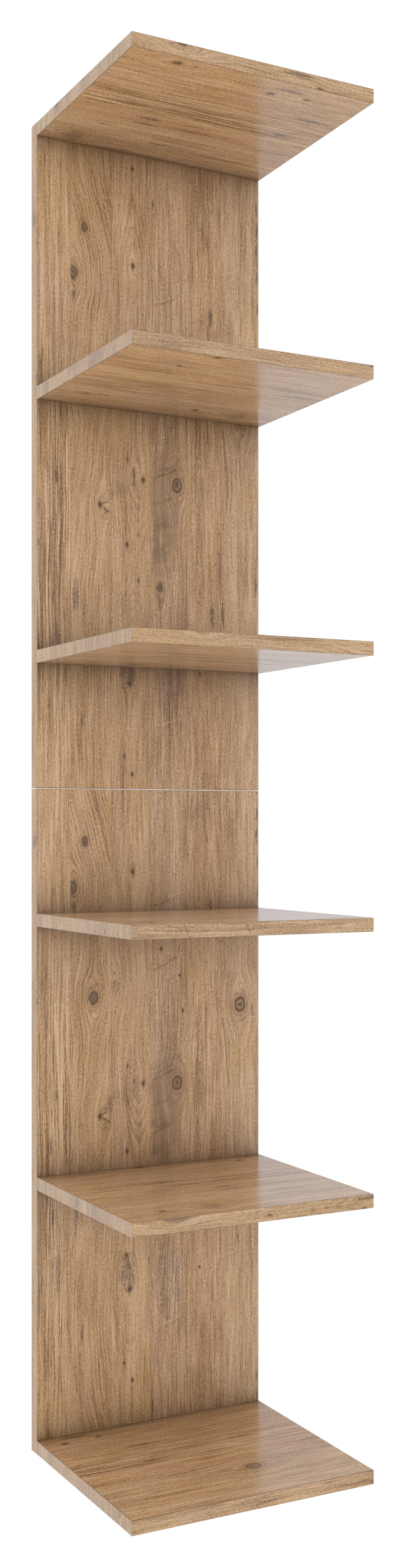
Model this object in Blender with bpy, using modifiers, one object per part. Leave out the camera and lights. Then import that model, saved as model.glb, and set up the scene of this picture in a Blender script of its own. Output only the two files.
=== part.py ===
"""Two-part wall shelf of melamine-faced particle board.

Two back panels hang one above the other on a wall. Each carries three shelves, which butt
against its face and are held from behind by one-piece connector screws. Every exposed board
edge has a glued edging strip, and each panel hangs on two keyhole plates let into its back.

Metres, +Z up, +X to the right as seen from the front, +Y into the wall. The origin lies on the
wall plane, midway between the seats of the two upper keyholes.
"""

import math

import bmesh
import bpy

# Boards
WIDTH = 0.345
HEIGHT = 1.800
SHELF_DEPTH = 0.300
PANEL_THICKNESS = 0.018
SHELF_THICKNESS = 0.018
MODULE_GAP = 0.0009
SEAT_GAP = 0.0002
SHELF_NAMES = (
    "top_shelf",
    "second_shelf",
    "third_shelf",
    "fourth_shelf",
    "fifth_shelf",
    "bottom_shelf",
)

# Edging strips, glued to the board edges
EDGING_THICKNESS = 0.0008
EDGING_RADIUS = 0.0004
EDGING_SEGMENTS = 2
GLUE_LINE = 0.0001

# One-piece connector screws that hold a shelf to its back panel
SCREW_LENGTH = 0.050
SCREW_HEAD_DIAMETER = 0.010
SCREW_HEAD_RIM = 0.0008
SCREW_HEAD_CONE = 0.0028
SCREW_COLLAR_DIAMETER = 0.007
SCREW_COLLAR_LENGTH = 0.011
SCREW_COLLAR_TAPER = 0.001
SCREW_CORE_DIAMETER = 0.005
SCREW_TIP_LENGTH = 0.004
SCREW_TIP_DIAMETER = 0.002
SCREW_SOCKET_WIDTH = 0.004
SCREW_SOCKET_DEPTH = 0.003
SCREW_SUNK = 0.0003
SCREW_INSET = 0.060
SCREW_CLEARANCE = 0.0002
SCREW_SIDES = 16

# Keyhole plates that hang on the wall screws
HANGER_WIDTH = 0.022
HANGER_HEIGHT = 0.060
HANGER_THICKNESS = 0.002
HANGER_CORNER = 0.004
HANGER_INSET = 0.070
HANGER_DROP = 0.080
HANGER_CLEARANCE = 0.0003
KEYHOLE_ENTRY_DIAMETER = 0.0105
KEYHOLE_SLOT_WIDTH = 0.0055
KEYHOLE_RISE = 0.012
POCKET_MARGIN = 0.0015
POCKET_DEPTH = 0.011

# Pan-head screws that fix a keyhole plate to its panel
PLATE_SCREW_LENGTH = 0.010
PLATE_SCREW_HEAD_DIAMETER = 0.0065
PLATE_SCREW_HEAD_HEIGHT = 0.0014
PLATE_SCREW_CROWN_DIAMETER = 0.0045
PLATE_SCREW_DIAMETER = 0.0032
PLATE_SCREW_TIP = 0.003
PLATE_SCREW_PITCH = 0.046
PLATE_SCREW_CLEARANCE = 0.0002
PLATE_SCREW_SUNK = 0.0002
PLATE_SCREW_SLOT_WIDTH = 0.0008
PLATE_SCREW_SLOT_LENGTH = 0.0036
PLATE_SCREW_SLOT_DEPTH = 0.0009
PLATE_SCREW_SIDES = 12

# Cutters reach this far past the face that they open
OVERCUT = 0.005
WELD_DISTANCE = 0.00001
ARC_STEPS = 6

# Sizes that follow from the ones above
TOP = HANGER_DROP
BOTTOM = TOP - HEIGHT
PANEL_HEIGHT = (HEIGHT - MODULE_GAP) / 2
SHELF_PITCH = (HEIGHT - SHELF_THICKNESS) / (len(SHELF_NAMES) - 1)
EDGING_SEAT = EDGING_THICKNESS + GLUE_LINE
SHELF_BACK = -(PANEL_THICKNESS + SEAT_GAP)
SHELF_FRONT = -(PANEL_THICKNESS + SHELF_DEPTH)
HANGER_SUNK = PLATE_SCREW_HEAD_HEIGHT + 2 * PLATE_SCREW_SUNK
HANGER_RECESS = HANGER_SUNK + HANGER_THICKNESS + SEAT_GAP
KEYHOLE_MIDDLE = -KEYHOLE_RISE / 2

# Side faces +X and -X, as the name of the side and its sign
SIDES = (("left", -1), ("right", 1))
FACING_WALL = (-math.pi / 2, 0, 0)
FLAT_ON_WALL = (math.pi / 2, 0, 0)

for old in list(bpy.data.objects):
    bpy.data.objects.remove(old)


def new_collection(name):
    made = bpy.data.collections.new(name)
    bpy.context.scene.collection.children.link(made)
    return made


PARTS = new_collection("wall_shelf")
CUTTERS = new_collection("cutters")


def new_material(name, colour, roughness, metallic=0.0):
    made = bpy.data.materials.new(name)
    made.use_nodes = True
    shader = made.node_tree.nodes["Principled BSDF"]
    shader.inputs["Base Color"].default_value = (*colour, 1.0)
    shader.inputs["Roughness"].default_value = roughness
    shader.inputs["Metallic"].default_value = metallic
    return made


PANEL_DECOR = new_material("panel_decor", (0.37, 0.23, 0.12), 0.45)
SHELF_DECOR = new_material("shelf_decor", (0.35, 0.21, 0.10), 0.30)
FRONT_EDGING = new_material("front_edging", (0.47, 0.31, 0.17), 0.45)
SIDE_EDGING = new_material("side_edging", (0.50, 0.37, 0.27), 0.50)
ZINC_STEEL = new_material("zinc_steel", (0.62, 0.63, 0.65), 0.30, 1.0)


# Mesh helpers


def box_mesh(name, size):
    """A box centred on its own origin."""
    shape = bmesh.new()
    bmesh.ops.create_cube(shape, size=1.0)
    bmesh.ops.scale(shape, vec=size, verts=shape.verts)
    mesh = bpy.data.meshes.new(name)
    shape.to_mesh(mesh)
    shape.free()
    return mesh


def place(name, data, location, finish, rotation=(0, 0, 0)):
    """A visible part of the shelf."""
    obj = bpy.data.objects.new(name, data)
    obj.location = location
    obj.rotation_euler = rotation
    if finish.name not in data.materials:
        data.materials.append(finish)
    PARTS.objects.link(obj)
    return obj


def place_cutter(name, data, location, rotation=(0, 0, 0)):
    obj = bpy.data.objects.new(name, data)
    obj.location = location
    obj.rotation_euler = rotation
    obj.hide_render = True
    obj.display_type = "WIRE"
    CUTTERS.objects.link(obj)
    return obj


def cut(obj, cutter):
    modifier = obj.modifiers.new(cutter.name, "BOOLEAN")
    modifier.operation = "DIFFERENCE"
    modifier.object = cutter


def evaluated_mesh(obj):
    """The object's mesh with its modifiers applied and its caps welded. The object is removed."""
    bpy.context.view_layer.update()
    graph = bpy.context.evaluated_depsgraph_get()
    mesh = bpy.data.meshes.new_from_object(obj.evaluated_get(graph))
    mesh.name = obj.name
    shape = bmesh.new()
    shape.from_mesh(mesh)
    bmesh.ops.remove_doubles(shape, verts=shape.verts, dist=WELD_DISTANCE)
    shape.to_mesh(mesh)
    shape.free()
    bpy.data.objects.remove(obj)
    return mesh


def turned_object(name, profile, sides):
    """A profile of (radius, height) points, from the top down, turned about Z."""
    mesh = bpy.data.meshes.new(name)
    points = [(radius, 0, height) for radius, height in profile]
    mesh.from_pydata(points, [(i, i + 1) for i in range(len(points) - 1)], [])
    obj = place_cutter(name, mesh, (0, 0, 0))
    turn = obj.modifiers.new("turn", "SCREW")
    turn.steps = sides
    turn.render_steps = sides
    turn.use_merge_vertices = True
    turn.merge_threshold = WELD_DISTANCE
    return obj


def prism_mesh(name, outline, thickness):
    """A closed flat outline, thickened along Z about its own plane."""
    curve = flat_curve(name, [outline], thickness)
    obj = bpy.data.objects.new(name, curve)
    CUTTERS.objects.link(obj)
    return evaluated_mesh(obj)


def flat_curve(name, outlines, thickness):
    """A flat plate: the first outline is its rim and the others are holes."""
    curve = bpy.data.curves.new(name, "CURVE")
    curve.dimensions = "2D"
    curve.fill_mode = "BOTH"
    curve.extrude = thickness / 2
    for outline in outlines:
        spline = curve.splines.new("POLY")
        spline.points.add(len(outline) - 1)
        for point, (x, y) in zip(spline.points, outline):
            point.co = (x, y, 0, 1)
        spline.use_cyclic_u = True
    return curve


# Outlines, as (x, z) points on the wall plane


def arc(centre, radius, start, end, steps=ARC_STEPS):
    """Points on an arc, angles in degrees."""
    angles = [math.radians(start + (end - start) * i / steps) for i in range(steps + 1)]
    return [
        (centre[0] + radius * math.cos(a), centre[1] + radius * math.sin(a)) for a in angles
    ]


def circle(centre, radius, sides):
    return arc(centre, radius, 0, 360, sides)[:-1]


def rounded_rectangle(width, height, radius, middle):
    """A rectangle with round corners, its middle at height middle."""
    x, z = width / 2 - radius, height / 2 - radius
    corners = (((x, z), 0), ((-x, z), 90), ((-x, -z), 180), ((x, -z), 270))
    outline = []
    for (cx, cz), start in corners:
        outline += arc((cx, cz + middle), radius, start, start + 90)
    return outline


def slot_outline(radius, top, bottom):
    """An upright slot with round ends centred at heights top and bottom."""
    return arc((0, top), radius, 0, 180) + arc((0, bottom), radius, 180, 360)


def keyhole_outline():
    """Slot above, seat centre at the origin, and the wider entry hole below it."""
    slot, entry = KEYHOLE_SLOT_WIDTH / 2, KEYHOLE_ENTRY_DIAMETER / 2
    mouth = math.degrees(math.asin(slot / entry))
    round_entry = arc((0, -KEYHOLE_RISE), entry, 90 + mouth, 450 - mouth, 3 * ARC_STEPS)
    return arc((0, 0), slot, 0, 180) + round_entry


# Edging strips


def edging(name, low, high, outward, finish):
    """A strip between two corners, its two long outer edges rounded. outward is an axis and a sign."""
    size = [b - a for a, b in zip(low, high)]
    middle = [(a + b) / 2 for a, b in zip(low, high)]
    mesh = box_mesh(name, size)
    axis, sign = outward
    along = size.index(max(size))
    weight = mesh.attributes.new("bevel_weight_edge", "FLOAT", "EDGE")
    for edge in mesh.edges:
        a, b = (mesh.vertices[i].co for i in edge.vertices)
        on_outside = a[axis] * sign > 0 and b[axis] * sign > 0
        runs_along = abs(a[along] - b[along]) > size[along] / 2
        weight.data[edge.index].value = float(on_outside and runs_along)
    obj = place(name, mesh, middle, finish)
    rounding = obj.modifiers.new("rounding", "BEVEL")
    rounding.limit_method = "WEIGHT"
    rounding.width = min(EDGING_RADIUS, EDGING_THICKNESS / 2)
    rounding.segments = EDGING_SEGMENTS
    return obj


def panel_edging(name, bottom, top):
    """Strips round the four edges of a back panel, the uprights over the full height."""
    half = WIDTH / 2
    inner = half - EDGING_SEAT
    front = -PANEL_THICKNESS
    for side, sign in SIDES:
        x = sorted((sign * half, sign * (half - EDGING_THICKNESS)))
        corners = (x[0], front, bottom), (x[1], 0, top)
        edging(f"{name}_{side}_edging", *corners, (0, sign), SIDE_EDGING)
    upper = (-inner, front, top - EDGING_THICKNESS), (inner, 0, top)
    lower = (-inner, front, bottom), (inner, 0, bottom + EDGING_THICKNESS)
    edging(f"{name}_top_edging", *upper, (2, 1), FRONT_EDGING)
    edging(f"{name}_bottom_edging", *lower, (2, -1), FRONT_EDGING)


def shelf_edging(name, bottom):
    """Strips on the front and both ends of a shelf, the front one over the full width."""
    half = WIDTH / 2
    top = bottom + SHELF_THICKNESS
    front_low = (-half, SHELF_FRONT, bottom)
    front_high = (half, SHELF_FRONT + EDGING_THICKNESS, top)
    edging(f"{name}_front_edging", front_low, front_high, (1, -1), FRONT_EDGING)
    for side, sign in SIDES:
        x = sorted((sign * half, sign * (half - EDGING_THICKNESS)))
        corners = (x[0], SHELF_FRONT + EDGING_SEAT, bottom), (x[1], SHELF_BACK, top)
        edging(f"{name}_{side}_edging", *corners, (0, sign), SIDE_EDGING)


# Connector screws


def screw_profile(clearance=0.0, top=0.0):
    """The screw from its head face at height 0 down to its tip, or its hole with clearance."""
    head = SCREW_HEAD_DIAMETER / 2 + clearance
    collar = SCREW_COLLAR_DIAMETER / 2 + clearance
    core = SCREW_CORE_DIAMETER / 2 + clearance
    tip = SCREW_TIP_DIAMETER / 2 + clearance
    under_head = SCREW_HEAD_RIM + SCREW_HEAD_CONE
    collar_end = under_head + SCREW_COLLAR_LENGTH
    return [
        (0, top),
        (head, top),
        (head, -SCREW_HEAD_RIM - clearance),
        (collar, -under_head - clearance),
        (collar, -collar_end - clearance),
        (core, -collar_end - SCREW_COLLAR_TAPER - clearance),
        (core, -SCREW_LENGTH + SCREW_TIP_LENGTH - clearance),
        (tip, -SCREW_LENGTH - clearance),
        (0, -SCREW_LENGTH - clearance),
    ]


def screw_mesh():
    """The connector screw, with a hexagon socket in its head."""
    shape = bmesh.new()
    bmesh.ops.create_cone(
        shape,
        cap_ends=True,
        segments=6,
        radius1=SCREW_SOCKET_WIDTH / math.sqrt(3),
        radius2=SCREW_SOCKET_WIDTH / math.sqrt(3),
        depth=2 * SCREW_SOCKET_DEPTH,
    )
    socket = bpy.data.meshes.new("screw_socket")
    shape.to_mesh(socket)
    shape.free()
    screw = turned_object("connector_screw", screw_profile(), SCREW_SIDES)
    cut(screw, place_cutter("screw_socket", socket, (0, 0, 0)))
    return evaluated_mesh(screw)


def screw_hole_mesh():
    """The stepped hole that a connector screw sits in, open past the panel's back."""
    profile = screw_profile(SCREW_CLEARANCE, SCREW_SUNK + OVERCUT)
    return evaluated_mesh(turned_object("screw_hole", profile, SCREW_SIDES))


# Keyhole plates and their screws


def hanger_curve():
    """The plate's own origin is the keyhole's seat."""
    rim = rounded_rectangle(HANGER_WIDTH, HANGER_HEIGHT, HANGER_CORNER, KEYHOLE_MIDDLE)
    hole = PLATE_SCREW_DIAMETER / 2 + PLATE_SCREW_CLEARANCE
    holes = [
        circle((0, height), hole, PLATE_SCREW_SIDES) for height in plate_screw_heights()
    ]
    return flat_curve("keyhole_plate", [rim, keyhole_outline(), *holes], HANGER_THICKNESS)


def plate_screw_heights():
    """Heights of the upper and lower plate screw above the keyhole's seat."""
    return (
        KEYHOLE_MIDDLE + PLATE_SCREW_PITCH / 2,
        KEYHOLE_MIDDLE - PLATE_SCREW_PITCH / 2,
    )


def plate_screw_mesh():
    """A pan-head screw with a cross recess, its head seated at height 0."""
    head = PLATE_SCREW_HEAD_DIAMETER / 2
    crown = PLATE_SCREW_CROWN_DIAMETER / 2
    shank = PLATE_SCREW_DIAMETER / 2
    profile = [
        (0, PLATE_SCREW_HEAD_HEIGHT),
        (crown, PLATE_SCREW_HEAD_HEIGHT),
        (head, PLATE_SCREW_HEAD_HEIGHT / 2),
        (head, 0),
        (shank, 0),
        (shank, PLATE_SCREW_TIP - PLATE_SCREW_LENGTH),
        (0, -PLATE_SCREW_LENGTH),
    ]
    screw = turned_object("plate_screw", profile, PLATE_SCREW_SIDES)
    depth = 2 * PLATE_SCREW_SLOT_DEPTH
    slots = (
        (PLATE_SCREW_SLOT_LENGTH, PLATE_SCREW_SLOT_WIDTH, depth),
        (PLATE_SCREW_SLOT_WIDTH, PLATE_SCREW_SLOT_LENGTH, depth),
    )
    for size in slots:
        slot = box_mesh("plate_screw_slot", size)
        cut(screw, place_cutter("plate_screw_slot", slot, (0, 0, PLATE_SCREW_HEAD_HEIGHT)))
    return evaluated_mesh(screw)


def plate_screw_hole_mesh():
    """The blind hole for a plate screw's shank, open past the recess floor."""
    radius = PLATE_SCREW_DIAMETER / 2 + PLATE_SCREW_CLEARANCE
    depth = PLATE_SCREW_LENGTH + PLATE_SCREW_CLEARANCE
    profile = [(0, 0), (radius, 0), (radius, PLATE_SCREW_TIP - depth), (0, -depth)]
    return evaluated_mesh(turned_object("plate_screw_hole", profile, PLATE_SCREW_SIDES))


def recess_mesh():
    """The shallow recess that the plate lies in."""
    outline = rounded_rectangle(
        HANGER_WIDTH + 2 * HANGER_CLEARANCE,
        HANGER_HEIGHT + 2 * HANGER_CLEARANCE,
        HANGER_CORNER + HANGER_CLEARANCE,
        KEYHOLE_MIDDLE,
    )
    return prism_mesh("hanger_recess", outline, HANGER_RECESS + OVERCUT)


def pocket_mesh():
    """The deeper pocket that the wall screw's head moves in, behind the keyhole."""
    radius = KEYHOLE_ENTRY_DIAMETER / 2 + POCKET_MARGIN
    return prism_mesh(
        "keyhole_pocket",
        slot_outline(radius, 0, -KEYHOLE_RISE),
        POCKET_DEPTH + OVERCUT,
    )


# Assembly


class Fittings:
    """Meshes that repeated pieces and their holes share."""

    screw = screw_mesh()
    screw_hole = screw_hole_mesh()
    hanger = hanger_curve()
    plate_screw = plate_screw_mesh()
    plate_screw_hole = plate_screw_hole_mesh()
    recess = recess_mesh()
    pocket = pocket_mesh()


def back_panel(name, bottom):
    """A back panel's board, inside its edging."""
    size = (
        WIDTH - 2 * EDGING_SEAT,
        PANEL_THICKNESS,
        PANEL_HEIGHT - 2 * EDGING_SEAT,
    )
    middle = (0, -PANEL_THICKNESS / 2, bottom + PANEL_HEIGHT / 2)
    panel_edging(name, bottom, bottom + PANEL_HEIGHT)
    return place(name, box_mesh(name, size), middle, PANEL_DECOR)


def shelf(name, bottom):
    """A shelf's board, inside its edging and clear of the panel."""
    front = SHELF_FRONT + EDGING_SEAT
    size = (WIDTH - 2 * EDGING_SEAT, SHELF_BACK - front, SHELF_THICKNESS)
    middle = (0, (SHELF_BACK + front) / 2, bottom + SHELF_THICKNESS / 2)
    shelf_edging(name, bottom)
    return place(name, box_mesh(name, size), middle, SHELF_DECOR)


def screw_shelf(panel, board, bottom):
    """Two connector screws through the panel into the shelf's back edge."""
    height = bottom + SHELF_THICKNESS / 2
    for side, sign in SIDES:
        name = f"{board.name}_{side}_screw"
        place_at = (sign * (WIDTH / 2 - SCREW_INSET), -SCREW_SUNK, height)
        hole = place_cutter(f"{name}_hole", Fittings.screw_hole, place_at, FACING_WALL)
        cut(panel, hole)
        cut(board, hole)
        place(name, Fittings.screw, place_at, ZINC_STEEL, FACING_WALL)


def hang_panel(panel, module, top):
    """Two keyhole plates let into the panel's back, each held by two screws."""
    seat = top - HANGER_DROP
    for side, sign in SIDES:
        name = f"{module}_{side}_hanger"
        x = sign * (WIDTH / 2 - HANGER_INSET)
        recess_at = (x, (OVERCUT - HANGER_RECESS) / 2, seat)
        pocket_at = (x, (OVERCUT - POCKET_DEPTH) / 2, seat)
        plate_at = (x, -(HANGER_SUNK + HANGER_THICKNESS / 2), seat)
        cut(panel, place_cutter(f"{name}_recess", Fittings.recess, recess_at, FLAT_ON_WALL))
        cut(panel, place_cutter(f"{name}_pocket", Fittings.pocket, pocket_at, FLAT_ON_WALL))
        place(name, Fittings.hanger, plate_at, ZINC_STEEL, FLAT_ON_WALL)
        for level, height in zip(("upper", "lower"), plate_screw_heights()):
            screw = f"{name}_{level}_screw"
            screw_at = (x, PLATE_SCREW_SUNK - HANGER_SUNK, seat + height)
            hole = place_cutter(
                f"{screw}_hole", Fittings.plate_screw_hole, screw_at, FACING_WALL
            )
            cut(panel, hole)
            place(screw, Fittings.plate_screw, screw_at, ZINC_STEEL, FACING_WALL)


def build():
    upper = back_panel("upper_back_panel", TOP - PANEL_HEIGHT)
    lower = back_panel("lower_back_panel", BOTTOM)
    hang_panel(upper, "upper", TOP)
    hang_panel(lower, "lower", BOTTOM + PANEL_HEIGHT)
    for i, name in enumerate(SHELF_NAMES):
        bottom = TOP - SHELF_THICKNESS - i * SHELF_PITCH
        panel = upper if i < len(SHELF_NAMES) / 2 else lower
        screw_shelf(panel, shelf(name, bottom), bottom)


build()
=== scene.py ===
"""Looks of the wall shelf: wood decor on board and edging, zinc steel, floor, light and camera."""

import math

import bpy
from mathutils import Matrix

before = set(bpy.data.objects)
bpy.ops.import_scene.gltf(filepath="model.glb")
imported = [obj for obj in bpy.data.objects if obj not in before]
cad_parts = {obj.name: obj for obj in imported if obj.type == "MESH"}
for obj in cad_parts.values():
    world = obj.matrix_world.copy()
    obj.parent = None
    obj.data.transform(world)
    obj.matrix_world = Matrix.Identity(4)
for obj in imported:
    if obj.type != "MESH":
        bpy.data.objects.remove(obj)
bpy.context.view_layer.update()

# Sizes of the shelf, in millimetres
TOP = 80.0
WIDTH = 345.0
BOARD = 18.0
SHELF_PITCH = 356.4
SHELVES = ["top", "second", "third", "fourth", "fifth", "bottom"]
MILLIMETRES_IN_METRE = 1000.0

# The decor sheet: u runs across the grain and v along it, in millimetres
SHEET_REPEAT = 842.5
SHEET_LEFT = -120.0
SHEET_RIGHT = 400.0

# Sockets of the Mix node that carry colours
MIX_SHARE = 0
MIX_FIRST = 6
MIX_SECOND = 7
MIX_RESULT = 2

NOISE_SPREAD = 4.0
NOISE_RANGE = (-1.0, 1.0)
NOISE_DETAIL = 2.0
NOISE_ROUGHNESS = 0.5


class Field:
    """A number or colour that varies over a surface: a node socket, so that formulas make nodes."""

    def __init__(self, socket):
        self.socket = socket

    def __add__(self, other):
        return calc("ADD", self, other)

    def __radd__(self, other):
        return calc("ADD", other, self)

    def __sub__(self, other):
        return calc("SUBTRACT", self, other)

    def __rsub__(self, other):
        return calc("SUBTRACT", other, self)

    def __mul__(self, other):
        return calc("MULTIPLY", self, other)

    def __rmul__(self, other):
        return calc("MULTIPLY", other, self)

    def __truediv__(self, other):
        return calc("DIVIDE", self, other)


def tree_of(*values):
    """The node tree of the first field among some values."""
    return next(value.socket.id_data for value in values if isinstance(value, Field))


def feed(socket, value):
    """Joins a field to a node's input, or sets a plain value there."""
    if isinstance(value, Field):
        socket.id_data.links.new(value.socket, socket)
    else:
        socket.default_value = value


def calc(operation, *values):
    """One step of arithmetic on fields and plain numbers."""
    node = tree_of(*values).nodes.new("ShaderNodeMath")
    node.operation = operation
    for socket, value in zip(node.inputs, values):
        feed(socket, value)
    return Field(node.outputs[0])


def root(value):
    return calc("SQRT", value)


def square(value):
    return calc("MULTIPLY", value, value)


def size_of(value):
    return calc("ABSOLUTE", value)


def fraction(value):
    return calc("FRACT", value)


def larger(first, second):
    return calc("MAXIMUM", first, second)


def smaller(first, second):
    return calc("MINIMUM", first, second)


def above(value, limit):
    return calc("GREATER_THAN", value, limit)


def below(value, limit):
    return calc("LESS_THAN", value, limit)


def ramp_up(value, low, high):
    """0 below low, 1 above high and smooth between; with low above high it falls instead."""
    node = tree_of(value).nodes.new("ShaderNodeMapRange")
    node.interpolation_type = "SMOOTHSTEP"
    feed(node.inputs["Value"], value)
    feed(node.inputs["From Min"], min(low, high))
    feed(node.inputs["From Max"], max(low, high))
    feed(node.inputs["To Min"], 0.0 if low < high else 1.0)
    feed(node.inputs["To Max"], 1.0 if low < high else 0.0)
    return Field(node.outputs["Result"])


def blend(share, first, second):
    """A colour between two, a field or a plain one each."""
    node = tree_of(share, first, second).nodes.new("ShaderNodeMix")
    node.data_type = "RGBA"
    feed(node.inputs[MIX_SHARE], share)
    feed(node.inputs[MIX_FIRST], first)
    feed(node.inputs[MIX_SECOND], second)
    return Field(node.outputs[MIX_RESULT])


def choose(share, first, second):
    """A number between two."""
    return first * (1.0 - share) + second * share


def noise(across, along, seed, detail=NOISE_DETAIL, roughness=NOISE_ROUGHNESS):
    """Smooth noise about 0, from near -1 to 1. The seed picks another part of it."""
    tree = tree_of(across)
    place = tree.nodes.new("ShaderNodeCombineXYZ")
    feed(place.inputs["X"], across)
    feed(place.inputs["Y"], along)
    feed(place.inputs["Z"], seed)
    node = tree.nodes.new("ShaderNodeTexNoise")
    feed(node.inputs["Vector"], Field(place.outputs["Vector"]))
    feed(node.inputs["Scale"], 1.0)
    feed(node.inputs["Detail"], detail)
    feed(node.inputs["Roughness"], roughness)
    return (Field(node.outputs[0]) - 0.5) * NOISE_SPREAD


def channels(colour):
    """The three numbers that a colour field carries."""
    node = tree_of(colour).nodes.new("ShaderNodeSeparateColor")
    feed(node.inputs["Color"], colour)
    return [Field(socket) for socket in node.outputs]


def steps(value, stops):
    """A stepped ramp on a field that runs from 0 to 1. Stops are pairs of a start and three numbers."""
    node = tree_of(value).nodes.new("ShaderNodeValToRGB")
    node.color_ramp.interpolation = "CONSTANT"
    elements = node.color_ramp.elements
    while len(elements) < len(stops):
        elements.new(1.0)
    while len(elements) > len(stops):
        elements.remove(elements[-1])
    for element, (start, numbers) in zip(elements, stops):
        element.position = start
        element.color = (*numbers, 1.0)
    feed(node.inputs["Fac"], value)
    return Field(node.outputs["Color"])


def curve_over(turn, heights):
    """A smooth curve along the sheet through pairs of a place and a height, both from 0 to 1."""
    node = tree_of(turn).nodes.new("ShaderNodeFloatCurve")
    curve = node.mapping.curves[0]
    while len(curve.points) < len(heights):
        curve.points.new(0.5, 0.5)
    for point, (place, height) in zip(curve.points, heights):
        point.location = (place, height)
    node.mapping.update()
    feed(node.inputs["Value"], turn)
    return Field(node.outputs["Value"])


# Planks of the decor, from left to right. Tones are linear colours.
# heart: where the growth rings centre, spacing: between rings, both in millimetres.
# The other numbers are strengths: rings, straight lines, split streaks, grey weathering.
PLANKS = {
    "outer": dict(
        start=-120, tone=(0.410, 0.247, 0.122), heart=-150, spacing=4.0,
        rings=0.70, lines=0.4, streaks=0.30, grey=0.1,
    ),
    "brown": dict(
        start=-72, tone=(0.370, 0.218, 0.109), heart=-200, spacing=3.6,
        rings=0.30, lines=0.6, streaks=0.50, grey=0.3,
    ),
    "splinter": dict(
        start=0, tone=(0.392, 0.235, 0.118), heart=-180, spacing=3.0,
        rings=0.20, lines=1.0, streaks=1.00, grey=0.1,
    ),
    "knotty": dict(
        start=50, tone=(0.410, 0.247, 0.120), heart=0, spacing=5.0,
        rings=0.75, lines=0.4, streaks=0.40, grey=0.0,
    ),
    "flame": dict(
        start=111, tone=(0.410, 0.249, 0.125), heart=144, spacing=4.0,
        rings=0.65, lines=0.3, streaks=0.25, grey=0.0,
    ),
    "grey": dict(
        start=171, tone=(0.370, 0.221, 0.118), heart=60, spacing=4.0,
        rings=0.30, lines=0.8, streaks=0.50, grey=0.7,
    ),
    "warm": dict(
        start=228, tone=(0.385, 0.222, 0.111), heart=40, spacing=3.0,
        rings=0.30, lines=1.0, streaks=0.60, grey=0.1,
    ),
    "pale": dict(
        start=283, tone=(0.385, 0.244, 0.136), heart=150, spacing=3.6,
        rings=0.50, lines=0.5, streaks=0.40, grey=0.1,
    ),
    "last": dict(
        start=345, tone=(0.380, 0.234, 0.124), heart=200, spacing=3.4,
        rings=0.50, lines=0.6, streaks=0.40, grey=0.2,
    ),
}

# Widest range of each number of a plank, so that a ramp's colour can carry it
PLANK_RANGES = dict(rings=2.0, lines=2.0, streaks=2.0, grey=2.0, heart=800.0, spacing=10.0)
PLANKS_APART = 150.0

# Noises of the decor. across and along: waves per millimetre.
# bent: it follows the bent grain, own: every plank has its own.
NOISES = {
    "wander": dict(across=0.010, along=0.006, seed=11.0),
    "ripple": dict(across=0.030, along=0.040, seed=12.0),
    "ring_unevenness": dict(across=0.11, along=0.004, seed=21.0, bent=True, own=True),
    "ring_presence": dict(across=0.030, along=0.007, seed=22.0),
    "fibres": dict(across=0.42, along=0.016, seed=31.0, detail=3.0, roughness=0.55, bent=True, own=True),
    "fine_fibres": dict(across=1.1, along=0.07, seed=32.0, roughness=0.6, bent=True),
    "streak": dict(across=0.15, along=0.0045, seed=33.0, roughness=0.55, bent=True, own=True),
    "splinter": dict(across=0.55, along=0.0075, seed=34.0, bent=True, own=True),
    "blotch": dict(across=0.030, along=0.011, seed=35.0, own=True),
    "pores": dict(across=1.1, along=0.045, seed=36.0, detail=1.0, bent=True),
    "rustic": dict(across=0.016, along=0.0055, seed=37.0),
    "lines": dict(across=0.26, along=0.0075, seed=38.0, roughness=0.6, bent=True, own=True),
    "line_presence": dict(across=0.20, along=0.020, seed=39.0, bent=True),
    "speckle": dict(across=0.45, along=0.28, seed=40.0, roughness=0.6),
    "yellow": dict(across=0.022, along=0.008, seed=42.0, own=True),
    "pink": dict(across=0.022, along=0.008, seed=43.0, own=True),
    "yellow_fibres": dict(
        across=0.16, along=0.012, seed=46.0, detail=3.0, roughness=0.6, bent=True, own=True
    ),
    "pink_fibres": dict(
        across=0.16, along=0.012, seed=47.0, detail=3.0, roughness=0.6, bent=True, own=True
    ),
    "broad": dict(across=0.065, along=0.004, seed=45.0, detail=1.0, bent=True, own=True),
    "knot_outline": dict(across=0.13, along=0.10, seed=3.0),
    "knot_grain": dict(across=0.50, along=0.30, seed=4.0),
    "knot_cracks": dict(across=0.40, along=0.30, seed=5.0),
    "scratch_breaks": dict(across=0.30, along=0.30, seed=61.0),
    "pits": dict(across=0.42, along=0.11, seed=62.0, detail=3.0, roughness=0.7),
    "joint_breaks": dict(across=0.020, along=0.020, seed=71.0),
    "relief": dict(across=0.90, along=0.030, seed=81.0, roughness=0.6),
}

# Knots of each plank: place across, place along, radius
KNOTS = {
    "outer": [(-94, 43, 4), (-83, 500, 2.6), (-78, 551, 3.4), (-100, 695, 4.4)],
    "brown": [(-39, 67, 3)],
    "splinter": [],
    "knotty": [(71, 130, 5), (53, 193, 7.2), (84, 345, 7), (94, 508, 3)],
    "flame": [
        (131, 11.5, 2),
        (143, 37, 2.2),
        (144, 172, 3),
        (136, 442, 2),
        (160, 468, 3),
        (135, 560, 2.5),
        (152, 609, 1.8),
        (134, 704, 2.6),
        (139, 753, 2.8),
    ],
    "grey": [(188, 281, 2.4), (217, 319, 1.6), (222, 369, 1.9), (213, 471, 8.05), (186, 617, 4.8)],
    "warm": [(249, 735, 1.6)],
    "pale": [(314, 365, 8.5)],
    "last": [(360, 788, 3.4)],
}

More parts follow.
